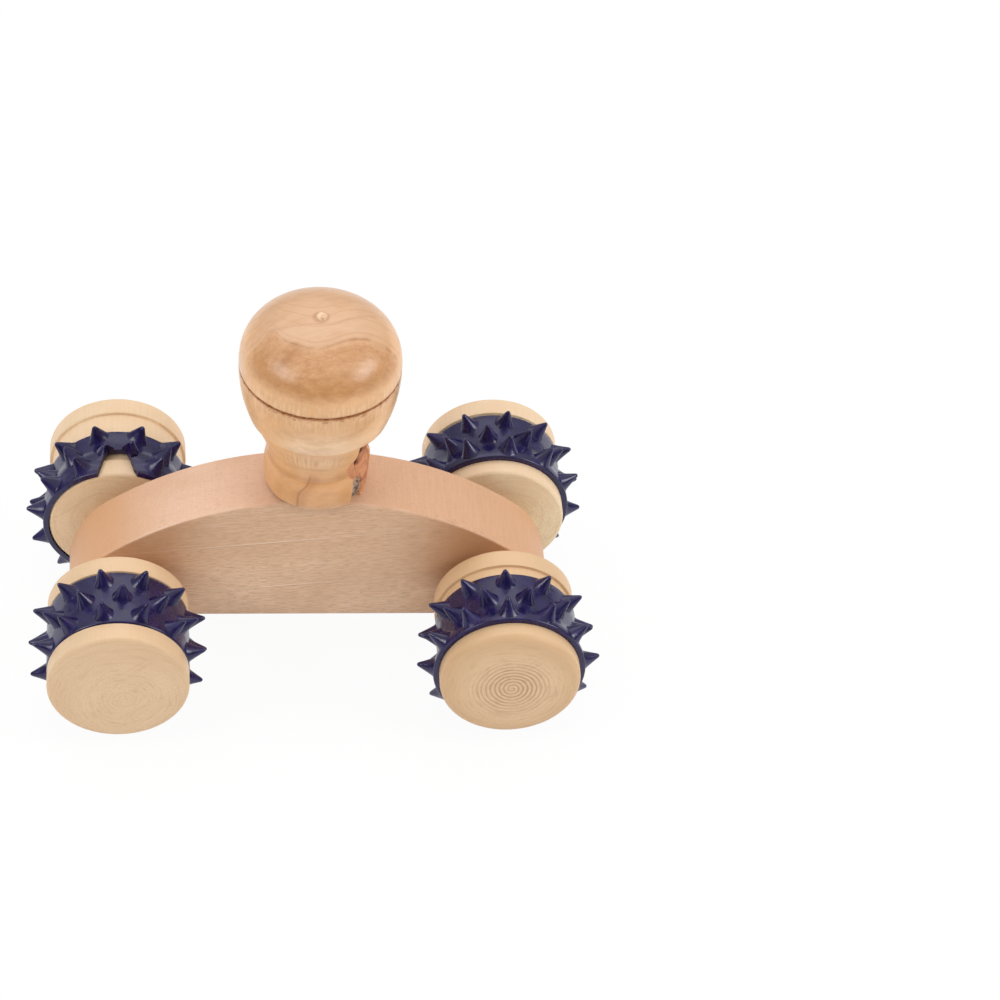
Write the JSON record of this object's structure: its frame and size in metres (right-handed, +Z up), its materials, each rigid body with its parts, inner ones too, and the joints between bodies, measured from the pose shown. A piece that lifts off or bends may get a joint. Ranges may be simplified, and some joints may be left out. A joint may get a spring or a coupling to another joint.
{
  "type": "wheeled massage roller",
  "caption": "Arched wooden block with a turned palm knob, carried on free-turning axles with wooden spool wheels in spiked rubber tyres; rolled over feet, legs or back to massage them.",
  "frame": {"origin": "on the surface that the spikes stand on, under the middle of the block", "axes": "+X along the block, towards the right wheels; +Y along the axles, away from the front; +Z up, towards the knob"},
  "size_m": [0.1635, 0.0968, 0.1238],
  "materials": {
    "block_wood": "pinkish tan plank, sanded, thin satin varnish",
    "knob_wood": "honey-coloured turned wood, glossy varnish",
    "hub_wood": "pale cream turned wood, satin, lathe rings on the end grain",
    "dowel_wood": "plain sanded dowel",
    "tyre_rubber": "deep navy moulded rubber, semi-gloss"
  },
  "bodies": {
    "carriage": {"body": "block_wood", "knob": "knob_wood", "knob_dowel": "dowel_wood"},
    "left_wheelset": {"left_axle": "dowel_wood", "front_left_hub": "hub_wood", "front_left_tyre": "tyre_rubber", "rear_left_hub": "hub_wood", "rear_left_tyre": "tyre_rubber"},
    "right_wheelset": {"right_axle": "dowel_wood", "front_right_hub": "hub_wood", "front_right_tyre": "tyre_rubber", "rear_right_hub": "hub_wood", "rear_right_tyre": "tyre_rubber"}
  },
  "joints": [
    {"name": "left_axle_spin", "type": "hinge", "parent": "carriage", "child": "left_wheelset", "pos_m": [-0.05525, 0, 0.02622], "axis": [0, 1, 0], "continuous": true},
    {"name": "right_axle_spin", "type": "hinge", "parent": "carriage", "child": "right_wheelset", "pos_m": [0.05525, 0, 0.02622], "axis": [0, 1, 0], "continuous": true}
  ]
}
